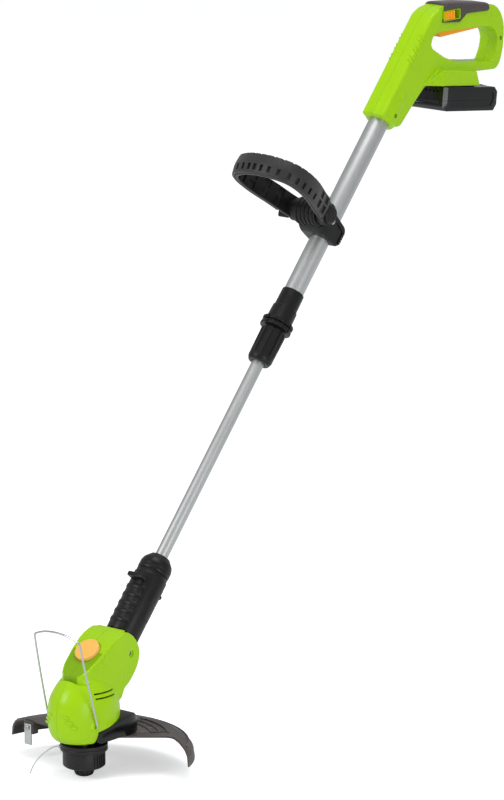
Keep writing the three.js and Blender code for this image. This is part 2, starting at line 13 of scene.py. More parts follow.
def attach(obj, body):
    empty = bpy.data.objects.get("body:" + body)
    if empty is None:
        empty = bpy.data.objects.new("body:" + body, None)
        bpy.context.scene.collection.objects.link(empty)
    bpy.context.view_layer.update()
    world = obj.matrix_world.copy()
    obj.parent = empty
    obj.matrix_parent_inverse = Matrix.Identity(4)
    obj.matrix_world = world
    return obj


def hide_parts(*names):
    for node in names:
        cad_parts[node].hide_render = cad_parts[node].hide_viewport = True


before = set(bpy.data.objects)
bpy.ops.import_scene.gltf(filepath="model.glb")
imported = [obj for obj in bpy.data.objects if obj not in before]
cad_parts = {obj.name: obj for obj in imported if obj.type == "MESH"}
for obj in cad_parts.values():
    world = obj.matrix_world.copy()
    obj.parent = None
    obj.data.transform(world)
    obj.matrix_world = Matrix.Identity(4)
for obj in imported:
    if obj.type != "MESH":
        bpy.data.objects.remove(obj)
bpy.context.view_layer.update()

MM = 0.001
scene = bpy.context.scene

# %% [markdown]
# The camera comes first. A long lens from about eight metres keeps the pole's two ends at nearly the same
# scale, as in a catalogue picture, and it looks down a little so that the guard's upper side shows.

# %% Camera
camera = bpy.data.objects.new("camera", bpy.data.cameras.new("camera"))
scene.collection.objects.link(camera)
camera.location = (5.1191, -5.6854, 2.3390)
camera.rotation_euler = (math.radians(76.818), 0, math.radians(40.209))
camera.data.lens = 252
camera.data.sensor_width = 36
camera.data.clip_end = 200
scene.camera = camera
scene.view_settings.view_transform = "Standard"

# %% [markdown]
# Shaders share a few effects, so each effect is a node group made once: the fine grain of a mould, the
# paler edges that handling leaves, dust that settles on top faces, and the fine lines of drawn metal.

# %% Helpers for shader nodes
def srgb(hexa):
    """A display colour such as 0x9acb00 as the linear colour that sockets take."""
    out = []
    for shift in (16, 8, 0):
        c = ((hexa >> shift) & 255) / 255
        out.append(c / 12.92 if c <= 0.04045 else ((c + 0.055) / 1.055) ** 2.4)
    return (*out, 1)


def put(tree, kind, values=None, **settings):
    """Adds a node. values sets its inputs, and a socket given as a value is linked."""
    n = tree.nodes.new(kind)
    for key, value in settings.items():
        setattr(n, key, value)
    for key, value in (values or {}).items():
        if isinstance(value, bpy.types.NodeSocket):
            tree.links.new(value, n.inputs[key])
        else:
            n.inputs[key].default_value = value
    return n


def start_group(name, inputs, outputs):
    tree = bpy.data.node_groups.new(name, "ShaderNodeTree")
    for label, default in inputs.items():
        s = tree.interface.new_socket(label, in_out="INPUT", socket_type="NodeSocketFloat")
        s.default_value = default
    for label in outputs:
        tree.interface.new_socket(label, in_out="OUTPUT", socket_type="NodeSocketFloat")
    return tree, tree.nodes.new("NodeGroupInput").outputs, tree.nodes.new("NodeGroupOutput")


def use(tree, group, **values):
    n = tree.nodes.new("ShaderNodeGroup")
    n.node_tree = group
    for key, value in values.items():
        n.inputs[key].default_value = value
    return n.outputs


def remap(tree, value, from_low, from_high, to_low, to_high):
    n = put(tree, "ShaderNodeMapRange", {"Value": value, "From Min": from_low, "From Max": from_high,
                                         "To Min": to_low, "To Max": to_high})
    return n.outputs["Result"]


def times(tree, a, b):
    return put(tree, "ShaderNodeMath", {0: a, 1: b}, operation="MULTIPLY").outputs[0]


def mixed(tree, factor, a, b):
    n = put(tree, "ShaderNodeMix", {"Factor": factor}, data_type="RGBA")
    for key, value in ((6, a), (7, b)):
        if isinstance(value, bpy.types.NodeSocket):
            tree.links.new(value, n.inputs[key])
        else:
            n.inputs[key].default_value = value
    return n.outputs[2]


# %% Effect: the grain of a mould
grain, given, out = start_group("mould grain", {"Grain": 900.0, "Mottle": 40.0}, ["Height", "Tone"])
where = grain.nodes.new("ShaderNodeTexCoord").outputs["Object"]
fine = put(grain, "ShaderNodeTexNoise", {"Vector": where, "Scale": given["Grain"], "Detail": 3.0})
broad = put(grain, "ShaderNodeTexNoise", {"Vector": where, "Scale": given["Mottle"], "Detail": 4.0})
grain.links.new(fine.outputs["Fac"], out.inputs["Height"])
grain.links.new(broad.outputs["Fac"], out.inputs["Tone"])

# %% Effect: paler edges where hands and grass have rubbed
wear, given, out = start_group("rubbed edges", {"Amount": 0.5, "Breakup": 120.0}, ["Mask"])
sharp = remap(wear, wear.nodes.new("ShaderNodeNewGeometry").outputs["Pointiness"], 0.53, 0.62, 0.0, 1.0)
where = wear.nodes.new("ShaderNodeTexCoord").outputs["Object"]
broken = put(wear, "ShaderNodeTexNoise", {"Vector": where, "Scale": given["Breakup"], "Detail": 5.0})
patchy = remap(wear, broken.outputs["Fac"], 0.35, 0.65, 0.25, 1.0)
wear.links.new(times(wear, times(wear, sharp, patchy), given["Amount"]), out.inputs["Mask"])

# %% Effect: dust on faces that look up
dust, given, out = start_group("settled dust", {"Amount": 0.2, "Patch": 25.0}, ["Mask"])
normal = dust.nodes.new("ShaderNodeNewGeometry").outputs["Normal"]
up = put(dust, "ShaderNodeSeparateXYZ", {"Vector": normal}).outputs["Z"]
where = dust.nodes.new("ShaderNodeTexCoord").outputs["Object"]
cloud = put(dust, "ShaderNodeTexNoise", {"Vector": where, "Scale": given["Patch"], "Detail": 6.0})
cover = times(dust, remap(dust, up, 0.2, 0.95, 0.0, 1.0), remap(dust, cloud.outputs["Fac"], 0.4, 0.7, 0.0,
                                                                1.0))
dust.links.new(times(dust, cover, given["Amount"]), out.inputs["Mask"])

# %% Effect: drawn metal, lines that run along the pole
LEAN = math.radians(41.1)
drawn, given, out = start_group("drawn metal", {"Fineness": 1.0}, ["Height", "Tone"])
where = drawn.nodes.new("ShaderNodeTexCoord").outputs["Object"]
along = put(drawn, "ShaderNodeMapping", {"Vector": where, "Rotation": (LEAN, 0, 0), "Scale": (700, 700, 6)})
lines = put(drawn, "ShaderNodeTexNoise", {"Vector": along.outputs[0], "Scale": given["Fineness"],
                                          "Detail": 4.0})
soft = put(drawn, "ShaderNodeTexNoise", {"Vector": where, "Scale": 14.0, "Detail": 3.0})
drawn.links.new(lines.outputs["Fac"], out.inputs["Height"])
drawn.links.new(soft.outputs["Fac"], out.inputs["Tone"])
print("effects:", grain.name, wear.name, dust.name, drawn.name, sep=" | ")

# %% [markdown]
# Almost everything is moulded plastic, and what sets one piece apart from the next is colour, gloss and
# grain. One function makes them all: a base colour that drifts slightly, rubbed edges, dust, and a grain
# in the bump.

# %% Moulded plastics and rubbers
def shade_of(colour, factor):
    return tuple(min(1.0, c * factor) for c in colour[:3]) + (1,)


def finish_with(name, metallic=0.0, **constants):
    mat = bpy.data.materials.new(name)
    mat.use_nodes = True
    bsdf = mat.node_tree.nodes["Principled BSDF"]
    bsdf.inputs["Metallic"].default_value = metallic
    for key, value in constants.items():
        bsdf.inputs[key.replace("_", " ")].default_value = value
    return mat, mat.node_tree, bsdf


def bump(tree, bsdf, height, strength, distance=0.0002):
    n = put(tree, "ShaderNodeBump", {"Height": height, "Strength": strength, "Distance": distance})
    tree.links.new(n.outputs[0], bsdf.inputs["Normal"])


def moulded(name, hexa, roughness, depth=0.1, size=900.0, drift=0.08, rubbed=0.25, pale=None, dusty=0.0,
            **constants):
    mat, tree, bsdf = finish_with(name, **constants)
    colour = srgb(hexa)
    surface = use(tree, grain, Grain=size, Mottle=38.0)
    base = mixed(tree, surface["Tone"], shade_of(colour, 1 - drift), shade_of(colour, 1 + drift))
    edges = use(tree, wear, Amount=rubbed)["Mask"]
    base = mixed(tree, edges, base, srgb(pale) if pale else shade_of(colour, 1.6))
    if dusty:
        base = mixed(tree, use(tree, dust, Amount=dusty)["Mask"], base, srgb(0x9a9284))
    tree.links.new(base, bsdf.inputs["Base Color"])
    rough = remap(tree, surface["Tone"], 0.3, 0.7, roughness - 0.04, roughness + 0.05)
    tree.links.new(rough, bsdf.inputs["Roughness"])
    bump(tree, bsdf, surface["Height"], depth)
    return mat


LIME = moulded("lime gloss plastic", 0xa2d400, 0.3, depth=0.03, drift=0.05, rubbed=0.3, pale=0xc4e62a,
               Specular_IOR_Level=0.28)
# A darker copy of the lime: painted shade for the faces inside the recessed band under the hood.
LIME_PAINTED_SHADE = moulded("lime plastic, painted shade for inset faces", 0x7fae00, 0.4, depth=0.05, drift=0.05, rubbed=0.2,
                     pale=0xa4cc1c, Specular_IOR_Level=0.25)
ORANGE = moulded("orange gloss plastic", 0xffa400, 0.32, depth=0.03, drift=0.04, rubbed=0.3, pale=0xffc060,
                 Specular_IOR_Level=0.3)
PALE_ORANGE = moulded("pale orange plastic", 0xffc05c, 0.34, depth=0.03, drift=0.04, rubbed=0.3,
                      pale=0xffd896)
BLACK = moulded("black satin plastic", 0x0e0d0d, 0.38, depth=0.12, drift=0.15, rubbed=0.4, pale=0x343231,
                Specular_IOR_Level=0.32)
BLACK_GLOSS = moulded("black gloss plastic", 0x070707, 0.2, depth=0.05, drift=0.15, rubbed=0.4, pale=0x303030,
                      Specular_IOR_Level=0.4)
GUARD = moulded("grey-brown guard plastic", 0x3f3836, 0.47, depth=0.3, size=700.0, drift=0.12, rubbed=0.5,
                pale=0x7d7471, dusty=0.16)
GREY = moulded("dark grey spool plastic", 0x1b1a1a, 0.4, depth=0.2, drift=0.12, rubbed=0.45, pale=0x484645,
               Specular_IOR_Level=0.35)
SOFT = moulded("soft grip rubber", 0x443b39, 0.68, depth=0.45, size=1400.0, drift=0.12, rubbed=0.3,
               pale=0x6b605c, Sheen_Weight=0.15)
LOOP_SOFT = moulded("loop grip rubber", 0x211e1d, 0.5, depth=0.35, size=1200.0, drift=0.18, rubbed=0.45,
                    pale=0x5a524e, Sheen_Weight=0.1)
NYLON = moulded("nylon line", 0xd3d8dc, 0.3, depth=0.05, drift=0.05, rubbed=0.1, Transmission_Weight=0.35)
FILM = moulded("blue cell film", 0x2f6fae, 0.35, depth=0.05)

# %% Metals
def metal(name, hexa, roughness, depth, fineness=1.0, drift=0.06, **constants):
    mat, tree, bsdf = finish_with(name, metallic=1.0, **constants)
    colour = srgb(hexa)
    lines = use(tree, drawn, Fineness=fineness)
    tree.links.new(mixed(tree, lines["Tone"], shade_of(colour, 1 - drift), shade_of(colour, 1 + drift)),
                   bsdf.inputs["Base Color"])
    tree.links.new(remap(tree, lines["Height"], 0.3, 0.7, roughness - 0.05, roughness + 0.07),
                   bsdf.inputs["Roughness"])
    bump(tree, bsdf, lines["Height"], depth, 0.0001)
    return mat


TUBE = metal("satin anodised tube", 0xc4c6c5, 0.42, 0.12)
STEEL = metal("bright steel", 0xc2c4c2, 0.26, 0.08, fineness=0.6)
COPPER = metal("copper winding", 0xb87333, 0.35, 0.1)
print("finishes:", len(bpy.data.materials))

# %% [markdown]
# The ground is one pale sheet, so large that its edge never shows. It gets a trace of tone so that it
# isn't a flat fill. A wide key light from the front left, a fill from the right and a bright sky give the
# soft, low shadow.

# %% Floor and light
def new_object(name, verts, faces, scale=MM):
    mesh = bpy.data.meshes.new(name)
    mesh.from_pydata([[c * scale for c in v] for v in verts], [], faces)
    ob = bpy.data.objects.new(name, mesh)
    scene.collection.objects.link(ob)
    return ob


FLOOR_HALF = 60
floor = new_object("floor", [(-FLOOR_HALF, -FLOOR_HALF, -0.0005), (FLOOR_HALF, -FLOOR_HALF, -0.0005),
                             (FLOOR_HALF, FLOOR_HALF, -0.0005), (-FLOOR_HALF, FLOOR_HALF, -0.0005)],
                   [(0, 1, 2, 3)], 1)
mat, tree, bsdf = finish_with("pale studio floor", Roughness=0.6)
tone = use(tree, grain, Grain=30.0, Mottle=0.8)["Tone"]
lit = put(tree, "ShaderNodeLightPath").outputs["Is Camera Ray"]
glow = put(tree, "ShaderNodeMix", {"Factor": lit}, data_type="RGBA")
glow.inputs[6].default_value, glow.inputs[7].default_value = (0, 0, 0, 1), (0.5, 0.5, 0.5, 1)
tree.links.new(glow.outputs[2], bsdf.inputs["Emission Color"])
bsdf.inputs["Emission Strength"].default_value = 1.0
tree.links.new(mixed(tree, tone, srgb(0xf4f5f7), srgb(0xfafbfc)), bsdf.inputs["Base Color"])
floor.data.materials.append(mat)

world = bpy.data.worlds.new("bright room")
world.use_nodes = True
world.node_tree.nodes["Background"].inputs["Color"].default_value = (0.97, 0.985, 1.0, 1)
world.node_tree.nodes["Background"].inputs["Strength"].default_value = 0.5
scene.world = world


def softbox(name, place, aim, size, power):
    light = bpy.data.objects.new(name, bpy.data.lights.new(name, "AREA"))
    scene.collection.objects.link(light)
    light.location = place
    light.rotation_euler = (Vector(aim) - Vector(place)).to_track_quat("-Z", "Y").to_euler()
    light.data.size = size
    light.data.energy = power


softbox("key", (-1.6, -4.2, 3.4), (0, 0.3, 0.4), 1.8, 95)
softbox("fill", (4.4, -1.2, 0.9), (0, 0.4, 0.5), 1.8, 46)
softbox("top", (0.4, 0.6, 4.4), (0, 0.4, 0.2), 2.6, 60)

# %% [markdown]
# The solids are made the way a toolmaker would: a turned, pressed or extruded blank, then joined and cut
# with others. Corners of each outline are rounded as drawn, because real mouldings have no sharp edges
# and light shows it.

# %% Outlines
def rounded(points, radius, steps=4, closed=True):
    """A polygon with each corner rounded by a small curve."""
    count = len(points)
    out = []
    for i, here in enumerate(points):
        p = Vector(here)
        if not closed and i in (0, count - 1):
            out.append(tuple(p))
            continue
        before, after = Vector(points[i - 1]) - p, Vector(points[(i + 1) % count]) - p
        reach = min(radius, before.length * 0.45, after.length * 0.45)
        a, b = p + before.normalized() * reach, p + after.normalized() * reach
        for k in range(steps + 1):
            t = k / steps
            out.append(tuple((1 - t) ** 2 * a + 2 * t * (1 - t) * p + t * t * b))
    return out


def smooth_path(points, per_span=6, closed=False):
    """A curve through all the points, in two or three dimensions."""
    pts = [Vector(p) for p in points]
    n = len(pts)
    out = []
    for i in range(n if closed else n - 1):
        p0 = pts[(i - 1) % n] if closed or i > 0 else 2 * pts[0] - pts[1]
        p1, p2 = pts[i], pts[(i + 1) % n]
        p3 = pts[(i + 2) % n] if closed or i + 2 < n else 2 * pts[-1] - pts[-2]
        for k in range(per_span):
            t = k / per_span
            out.append(tuple(0.5 * (2 * p1 + (p2 - p0) * t + (2 * p0 - 5 * p1 + 4 * p2 - p3) * t * t
                                    + (3 * p1 - p0 - 3 * p2 + p3) * t ** 3)))
    if not closed:
        out.append(tuple(pts[-1]))
    return out


# %% Blanks
def outward(ob):
    bm = bmesh.new()
    bm.from_mesh(ob.data)
    bmesh.ops.remove_doubles(bm, verts=bm.verts, dist=1e-7)
    bmesh.ops.recalc_face_normals(bm, faces=bm.faces)
    bm.to_mesh(ob.data)
    bm.free()
    return ob


def loft(rings, name="blank", closed_loop=False):
    """A skin over rings of equal count, closed by two caps or into a loop."""
    count = len(rings[0])
    verts = [p for ring in rings for p in ring]
    faces = []
    spans = len(rings) if closed_loop else len(rings) - 1
    for k in range(spans):
        for i in range(count):
            j = (i + 1) % count
            a, b = k * count, ((k + 1) % len(rings)) * count
            faces.append((a + i, a + j, b + j, b + i))
    if not closed_loop:
        faces += [tuple(range(count)), tuple(range(len(verts) - count, len(verts)))]
    return outward(new_object(name, verts, faces))


def lathe(profile, segments=64, name="blank"):
    """A closed profile of (radius, height) turned about z. Ends that lie on the axis close themselves."""
    verts, faces, rows = [], [], []
    for r, z in profile:
        if r < 1e-6:
            rows.append([len(verts)])
            verts.append((0, 0, z))
        else:
            rows.append(list(range(len(verts), len(verts) + segments)))
            verts += [(r * math.cos(a), r * math.sin(a), z)
                      for a in (2 * math.pi * i / segments for i in range(segments))]
    loop = profile[0][0] > 1e-6
    for k in range(len(rows) if loop else len(rows) - 1):
        a, b = rows[k], rows[(k + 1) % len(rows)]
        for i in range(segments):
            j = (i + 1) % segments
            face = [a[i % len(a)], a[j % len(a)], b[j % len(b)], b[i % len(b)]]
            face = list(dict.fromkeys(face))
            if len(face) > 2:
                faces.append(tuple(face))
    return outward(new_object(name, verts, faces))


def round_lathe(profile, radius=0.8, segments=64, name="blank"):
    loop = profile[0][0] > 1e-6
    return lathe(rounded(profile, radius, 3, closed=loop), segments, name)


def rod(r, z0, z1, segments=48):
    return lathe([(0, z0), (r, z0), (r, z1), (0, z1)], segments)


def plate(outline, z0, z1):
    """An outline of (x, y) standing from z0 to z1."""
    return loft([[(x, y, z0) for x, y in outline], [(x, y, z1) for x, y in outline]])


def slab(outline, x0, x1):
    """A side outline of (y, z) from x0 to x1."""
    return loft([[(x0, y, z) for y, z in outline], [(x1, y, z) for y, z in outline]])


def block(x0, x1, y0, y1, z0, z1):
    return slab([(y0, z0), (y1, z0), (y1, z1), (y0, z1)], x0, x1)


def sweep(path, r, sides=12, name="blank"):
    """A round bar along a path, closed at both ends."""
    pts = [Vector(p) for p in path]
    rings = []
    side = None
    for i, p in enumerate(pts):
        ahead = (pts[min(i + 1, len(pts) - 1)] - pts[max(i - 1, 0)]).normalized()
        if side is None:
            side = ahead.orthogonal().normalized()
        side = (side - ahead * side.dot(ahead)).normalized()
        other = ahead.cross(side)
        rings.append([tuple(p + side * (r * math.cos(a)) + other * (r * math.sin(a)))
                      for a in (2 * math.pi * k / sides for k in range(sides))])
    return loft(rings, name)


# %% Joining, cutting and softening
def bake(ob):
    """Applies the modifiers of a blank to its mesh."""
    depsgraph = bpy.context.evaluated_depsgraph_get()
    mesh = bpy.data.meshes.new_from_object(ob.evaluated_get(depsgraph))
    ob.modifiers.clear()
    ob.data = mesh
    return ob


def combine(ob, how, tools):
    for tool in tools:
        m = ob.modifiers.new("cut", "BOOLEAN")
        m.operation = how
        m.solver = "MANIFOLD"
        m.object = tool
        bake(ob)
        bpy.data.objects.remove(tool)
    return ob


def cut(ob, *tools):
    return combine(ob, "DIFFERENCE", tools)


def join(ob, *tools):
    return combine(ob, "UNION", tools)


def common(ob, *tools):
    return combine(ob, "INTERSECT", tools)


def bevelled(ob, width, segments=3, angle=40):
    m = ob.modifiers.new("bevel", "BEVEL")
    m.width, m.segments, m.limit_method = width * MM, segments, "ANGLE"
    m.angle_limit = math.radians(angle)
    return bake(ob)


def soften(ob, voxel, rounds=6):
    """Melts joined blanks into one moulding with small fillets."""
    m = ob.modifiers.new("remesh", "REMESH")
    m.mode, m.voxel_size = "VOXEL", voxel * MM
    s = ob.modifiers.new("smooth", "SMOOTH")
    s.factor, s.iterations = 0.5, rounds
    return bake(ob)


def copy_of(ob):
    twin = ob.copy()
    twin.data = ob.data.copy()
    scene.collection.objects.link(twin)
    return twin


def placed(ob, *matrices):
    for m in matrices:
        ob.data.transform(m)
    return ob


def shift(x, y, z):
    return Matrix.Translation(Vector((x, y, z)) * MM)


def turn(degrees, axis):
    return Matrix.Rotation(math.radians(degrees), 4, axis)


def pin(r, x0, x1, y, z, segments=40):
    return placed(rod(r, x0, x1, segments), turn(90, "Y"), shift(0, y, z))


PIVOT = (0, 66, 170)
POLE = shift(*PIVOT) @ Matrix.Rotation(-LEAN, 4, "X")


# %% Handing over a piece
SHARP = math.radians(38)
made = []


def done(ob, name, material, body, nodes=()):
    """Names a piece, gives it its finish and shading, and hangs it on its body."""
    ob.name = name
    ob.data.name = name
    bm = bmesh.new()
    bm.from_mesh(ob.data)
    for face in bm.faces:
        face.smooth = True
    for edge in bm.edges:
        edge.smooth = len(edge.link_faces) == 2 and edge.calc_face_angle(0) < SHARP
    bm.to_mesh(ob.data)
    bm.free()
    if material:
        ob.data.materials.clear()
        ob.data.materials.append(material)
    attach(ob, body)
    if nodes:
        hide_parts(*nodes)
    made.append(name)
    return ob

# %% [markdown]
# The cutting line is stiff nylon. It leaves the eyelet level and springs down to the ground in one clean
# curve.

# %% Cutting line
EXIT_ANGLE = math.radians(220)
LINE_ROUTE = [(36.8, 42), (39, 41.9), (41.5, 41.4), (44.5, 40.3), (47.5, 38.7), (51, 36.4), (54.5, 33.8),
              (58, 30.9), (61.5, 27.6), (64.8, 24.1), (67.8, 20.4), (70.5, 16.4), (72.8, 12.3), (74.7, 8.1),
              (76, 4.4), (76.8, 1.4)]
LINE_D = 1.6
route = [(r * math.cos(EXIT_ANGLE), r * math.sin(EXIT_ANGLE), z) for r, z in LINE_ROUTE]
path = smooth_path(route, 3)
line = sweep(path, LINE_D / 2, 10)
done(line, "cutting_line_nylon", NYLON, "spool", ["cutting_line"])

# %% [markdown]
# The spool is three turned pieces: a base ring, a ribbed cap and the knob that is bumped on the ground.
# The grooves on the cap are finger grips, cut only on two sides, so the rest of the cap stays a plain
# shiny wall.

# %% Spool
def around(tool, degrees):
    return placed(tool, turn(degrees, "Z"))


exit_cut = placed(rod(2.9, 28, 40, 24), turn(90, "Y"), turn(220, "Z"), shift(0, 0, 42))
base = cut(round_lathe([(6.3, 45.6), (6.3, 48.6), (34, 48.6), (34, 44), (33.2, 43.2), (34, 42.4), (34, 38),
                        (31.6, 38), (31.6, 45.6)], 0.7, 96), exit_cut)
done(base, "spool_base_ring", GREY, "spool", ["spool_base"])

cap = round_lathe([(15, 13), (26.5, 13), (30.5, 16), (30.5, 37.5), (28.5, 37.5), (28.5, 17), (26.5, 15.2),
                   (15, 15.2)], 1.1, 96)
grooves = [around(block(29.4, 33, -1.4, 1.4, 15.5, 35), a) for a in
           [s + 9 * i for s in (-20, 160) for i in range(6)]]
cap = cut(cap, *grooves)
done(cap, "spool_cap_ribbed", GREY, "spool", ["spool_cap"])

knob = round_lathe([(0, 0), (9.5, 0), (12.6, 1.6), (14.3, 5), (14.3, 12), (5, 12), (5, 17), (0, 17)], 1.2, 72)
knob = cut(knob, *[around(block(12.9, 16, -0.7, 0.7, 3, 10.5), 30 * i) for i in range(12)])
done(knob, "bump_knob_round", GREY, "knob", ["bump_knob"])

eyelet = placed(round_lathe([(1.2, 30.6), (1.2, 36.4), (2.6, 36.4), (2.6, 30.6)], 0.5, 32), turn(90, "Y"),
                turn(220, "Z"), shift(0, 0, 42))
done(eyelet, "line_eyelet_ring", STEEL, "spool", ["line_eyelet"])
print("spool pieces:", len(made))

# %% [markdown]
# The head is a gear housing with a hood over it. On the real tool both come from one mould, so their
# joint is a small fillet, not a crease. The blanks are joined, melted together slightly, and only then
# are crisp details cut in.

# %% Head housing
def ellipse(a, b, z, sides=96):
    return [(a * math.cos(t), b * math.sin(t), z) for t in (2 * math.pi * i / sides for i in range(sides))]


BULB = [(31, 38, 54), (37, 46, 57), (41.5, 52, 63), (45, 56, 73), (46.5, 58, 92), (44.5, 55, 114),
        (38, 47, 130), (30.5, 37, 142), (24, 29, 151)]


def bulb(shrink=0.0, rings=len(BULB)):
    rows = smooth_path(BULB[:rings], 4)
    return loft([ellipse(a - shrink, b - shrink, z) for a, b, z in rows])


HOOD = [(-31, 140), (-31, 150), (28, 194), (45, 201), (61, 205.5), (76, 196), (86, 184), (91, 172), (90, 160),
        (85, 146), (77, 134), (68, 124), (56, 119), (48, 108), (0, 100), (-28, 122)]
CHEEK_SIDE = [(-31, 140), (-31, 150), (28, 194), (45, 201), (58, 204), (71, 196), (80.5, 184), (85.5, 172),
              (84.5, 160), (79.5, 148), (71, 137), (62, 128), (52, 122), (46, 108), (0, 100), (-28, 122)]
PLAN = [(-10, -31), (10, -31), (19, -25), (25, -14), (30, 10), (32, 40), (32, 120), (-32, 120), (-32, 40),
        (-30, 10), (-25, -14), (-19, -25)]
BUTTON_TILT = math.degrees(math.atan2(44, 59))
BUTTON = shift(0, 10, 180.3) @ Matrix.Rotation(math.radians(BUTTON_TILT), 4, "X")
UNDERCUT = [(-17, 40), (-17, 74.5), (46, 87), (60, 92), (120, 92), (120, 40)]
CHEEK = 26.4
WIRE_PIVOT = (-23, 83)


def plan_scaled(offset):
    return [(x + math.copysign(offset, x), y - (offset if y < 0 else 0)) for x, y in PLAN]


def neck_room():
    rooms = [pin(22.6, -CHEEK, CHEEK, 66, 170, 64)]
    for extra in range(0, 37, 6):
        beam = join(block(-CHEEK, CHEEK, -26.8, 26.8, 20, 90), block(-CHEEK, CHEEK, -22.6, 22.6, 0, 30))
        rooms.append(placed(beam, Matrix.Rotation(-LEAN - math.radians(extra), 4, "X"), shift(*PIVOT)))
    return rooms


hood = common(join(slab(rounded(HOOD, 5), -25, 25), slab(rounded(CHEEK_SIDE, 5), -32, 32)),
              plate(rounded(PLAN, 7), 0, 300))
hood = bevelled(hood, 3.2, 3, 50)
head = join(bulb(), hood)
for side in (-1, 1):
    head = join(head, pin(6.5, min(36 * side, 43.6 * side), max(36 * side, 43.6 * side), *WIRE_PIVOT))
head = soften(head, 0.9, 7)
print("housing blank faces:", len(head.data.polygons))

# %% [markdown]
# The details come after the melting: the inset band under the hood, coloured a darker lime as painted
# shade, with its slanted ribs, two cooling slots, small raised dashes on the nose, the bolt holes and the
# seat of the tilt button.

# %% Head details
def is_inside(u, v, outline):
    """Whether a point is in a polygon: an upward line from it crosses the outline an odd number of times."""
    crossings = 0
    for (u0, v0), (u1, v1) in zip(outline, outline[1:] + outline[:1]):
        if (u0 > u) != (u1 > u) and v0 + (v1 - v0) * (u - u0) / (u1 - u0) > v:
            crossings += 1
    return crossings % 2 == 1


def plan_x(y):
    """The hood's half width at y, from the outline seen from above."""
    right = [p for p in PLAN if p[0] > 0]
    for (x0, y0), (x1, y1) in zip(right, right[1:]):
        if y0 <= y <= y1:
            return x0 + (x1 - x0) * (y - y0) / (y1 - y0)
    return right[-1][0]


BAND = [(-38, 151), (-34, 164), (-9, 173.5), (21, 185), (52, 195), (66, 192), (51, 171), (21, 156),
        (-16, 141), (-30, 141)]
BAND_DEPTH = 3
band_skin = common(cut(plate(plan_scaled(8), 120, 210), plate(plan_scaled(-BAND_DEPTH), 110, 220)),
                   slab(rounded(BAND, 3), -60, 60))
head = cut(head, band_skin)
for y, z in ((-8, 158), (1, 165.5), (10, 173)):
    rib = slab(rounded([(y - 3, z - 7), (y + 1.5, z - 6), (y + 7, z + 7), (y + 2.5, z + 7)], 1), -60, 60)
    rib = common(rib, plate(rounded(plan_scaled(-0.5), 7), 100, 220))
    head = join(head, rib)
for z in (122.2, 128.6):
    head = cut(head, slab(rounded([(-18, z - 1), (-18, z + 1.4), (24, z + 0.2), (24, z - 2.2)], 1), -60, 60))
for x, y, z in ((13.8, -53.3, 99), (19.2, -50.7, 91.5), (23.8, -47.5, 84.5)):
    for side in (-1, 1):
        dash = bevelled(block(-4.6, 4.6, -3.7, 1.4, -1.3, 1.3), 0.5, 2)
        dash = placed(dash, Matrix.Rotation(math.atan2(-x, y) + math.pi, 4, "Z"), shift(x, y, z))
        if side < 0:
            dash = outward(placed(dash, Matrix.Scale(-1, 4, (1, 0, 0))))
        head = join(head, dash)
inner = bulb(3, 7)
head = cut(head, inner, *neck_room(), slab(UNDERCUT, -60, 60), rod(8, 40, 70), pin(4.3, -29, 29, 66, 170),
           pin(3, -40, 40, 66, 170), pin(5.6, 30, 40, 66, 170), pin(2, -50, 50, *WIRE_PIVOT),
           placed(rod(19.5, -8, 20, 72), BUTTON), placed(rod(7, -22, 0), BUTTON))
SEAM = 0.15
for side, name in ((1, "left"), (-1, "right")):
    half = common(copy_of(head), block(min(side * SEAM, side * 90), max(side * SEAM, side * 90), -90, 150,
                                       0, 260))
    done(half, f"head_housing_{name}", LIME, "head", [f"head_shell_{name}"])
    # Faces on the floor of the inset band take the darker lime, which is painted shade for the recess.
    half.data.materials.append(LIME_PAINTED_SHADE)
    for face in half.data.polygons:
        x, y, z = face.center / MM
        if is_inside(y, z, BAND) and abs(x) < plan_x(y) - BAND_DEPTH + 0.4:
            face.material_index = 1
bpy.data.objects.remove(head)

button = round_lathe([(0, -4), (18.9, -4), (18.9, 4.6), (17.4, 6.2), (0, 6.9)], 1.4, 96)
done(placed(button, BUTTON), "tilt_button_cap", PALE_ORANGE, "button", ["tilt_button"])

# %% [markdown]
# The hoop that keeps flowers away from the line is one length of spring steel, bent at two tight corners.

# %% Wire hoop
y, z = WIRE_PIVOT
HOOP_X = 47
half_hoop = [(41, y, z), (44.5, y, z), (HOOP_X - 0.4, y - 0.2, z + 0.9), (HOOP_X, y - 1, z + 4),
             (HOOP_X - 1, y - 10, z + 38), (HOOP_X - 2.6, y - 21.5, z + 82), (HOOP_X - 4, y - 31, z + 123),
             (HOOP_X - 5, y - 32.4, z + 128.5), (HOOP_X - 9, y - 33, z + 131.6),
             (HOOP_X - 26, y - 34.4, z + 137)]
hoop_path = half_hoop + [(0, y - 35, z + 139)] + [(-a, b, c) for a, b, c in reversed(half_hoop)]
hoop = sweep(smooth_path(hoop_path, 8), 1.5, 16)
done(hoop, "wire_hoop", STEEL, "hoop", ["wire_guard"])

# %% [markdown]
# The guard is a dished sector, turned from one section so that its rim and deck stay concentric. Embossed
# arcs near the left end stiffen it, and a rolled lip runs along the cut ends.

# %% Guard
GUARD_R = 158
section = [(40, 54), (40, 57), (118, 56.5), (138, 54), (150, 48.5), (156, 40), (GUARD_R, 25),
           (GUARD_R - 3, 25), (153, 39), (147.5, 46), (136.5, 51), (118, 53.5)]
SECTOR = [(0, 0), (95, 84), (153, 56), (190, 60), (190, 190), (-190, 190), (-190, 22), (-60, 8)]


def ring_sector(section_points, a0, a1, radius=0.6):
    """Part of a turned ring between two angles in degrees."""
    pts = rounded(section_points, radius, 2)
    steps = max(8, int((a1 - a0) / 2))
    return loft([[(r * math.cos(t), r * math.sin(t), z) for r, z in pts]
                 for t in (math.radians(a0 + (a1 - a0) * k / steps) for k in range(steps + 1))])


